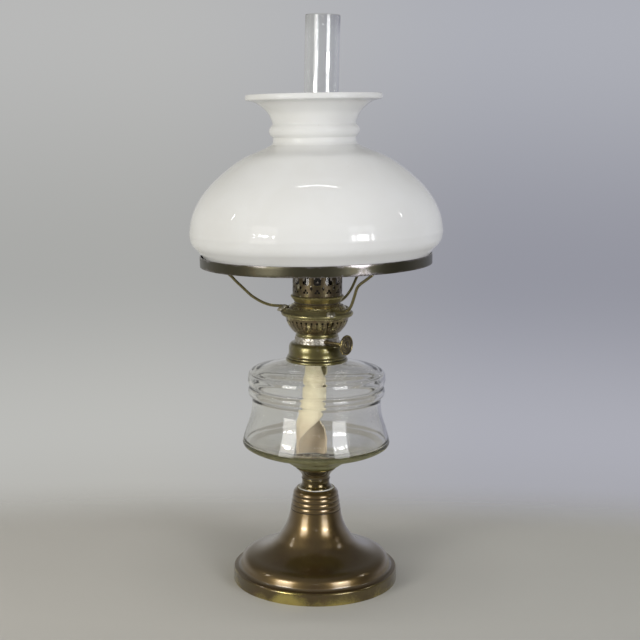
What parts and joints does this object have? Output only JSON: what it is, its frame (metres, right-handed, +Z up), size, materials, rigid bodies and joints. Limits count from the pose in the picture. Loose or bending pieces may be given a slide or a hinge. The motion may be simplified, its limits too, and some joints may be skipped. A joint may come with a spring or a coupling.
{
  "type": "kerosene lamp",
  "caption": "Table oil lamp: brass foot and stem, glass font, round-wick burner with winder, tall chimney, and an opal shade on a three-armed ring.",
  "frame": {"origin": "middle of the foot's flat underside, on the lamp's axis", "axes": "+Z up along the lamp's axis; the winder's knob is towards +X and -Y; -Y faces the viewer of the picture"},
  "size_m": [0.2613, 0.2614, 0.5898],
  "materials": {
    "dark_brass": "dark patinated, soft gloss",
    "aged_brass": "aged, olive-gold, polished by handling",
    "burner_brass": "aged, spotted",
    "holder_brass": "aged wire and pressed sheet",
    "ring_brass": "dark, worn nickel over brass",
    "tinned_brass": "tinned, dull",
    "plaster": "plaster of Paris",
    "clear_glass": "clear, faintly green-grey",
    "chimney_glass": "clear, thin",
    "opal_glass": "opal white, glossy",
    "cotton": "woven tape, stained by oil"
  },
  "bodies": {
    "root": {"foot": "dark_brass", "foot_plaster": "plaster", "stem": "aged_brass", "stem_plaster": "plaster", "font": "clear_glass", "collar": "aged_brass", "collar_plaster": "plaster"},
    "burner": {"base_ring": "tinned_brass", "base_band": "burner_brass", "air_basket": "burner_brass", "deck": "burner_brass", "sieve_plate": "burner_brass", "wick_tube": "burner_brass", "draught_tube": "burner_brass", "shaft_bush": "burner_brass", "gallery": "burner_brass"},
    "winder": {"winder_shaft": "burner_brass", "spiked_wheels": "burner_brass", "winder_knob": "burner_brass"},
    "wick_tape": {"wick": "cotton"},
    "chimney_glass": {"chimney": "chimney_glass"},
    "shade_holder": {"holder_hub": "holder_brass", "holder_arm_left": "holder_brass", "holder_arm_front": "holder_brass", "holder_arm_back": "holder_brass", "holder_ring": "ring_brass"},
    "shade_glass": {"shade": "opal_glass"}
  },
  "joints": [
    {"name": "burner_lift", "type": "slide", "parent": "root", "child": "burner", "axis": [0, 0, 1], "range_m": [0, 0.15]},
    {"name": "winder_turn", "type": "hinge", "parent": "burner", "child": "winder", "pos_m": [-0.00634, -0.00812, 0.2595], "axis": [0.788, -0.6157, 0], "range_deg": [0, 120]},
    {"name": "wick_raise", "type": "slide", "parent": "burner", "child": "wick_tape", "axis": [0, 0, 1], "range_m": [0, 0.009]},
    {"name": "chimney_lift", "type": "slide", "parent": "burner", "child": "chimney_glass", "axis": [0, 0, 1], "range_m": [0, 0.29]},
    {"name": "holder_lift", "type": "slide", "parent": "burner", "child": "shade_holder", "axis": [0, 0, 1], "range_m": [0, 0.31]},
    {"name": "shade_lift", "type": "slide", "parent": "shade_holder", "child": "shade_glass", "axis": [0, 0, 1], "range_m": [0, 0.25]}
  ],
  "couplings": [
    {"joint": "wick_raise", "follows": "winder_turn", "m_per_rad": 0.0042}
  ]
}
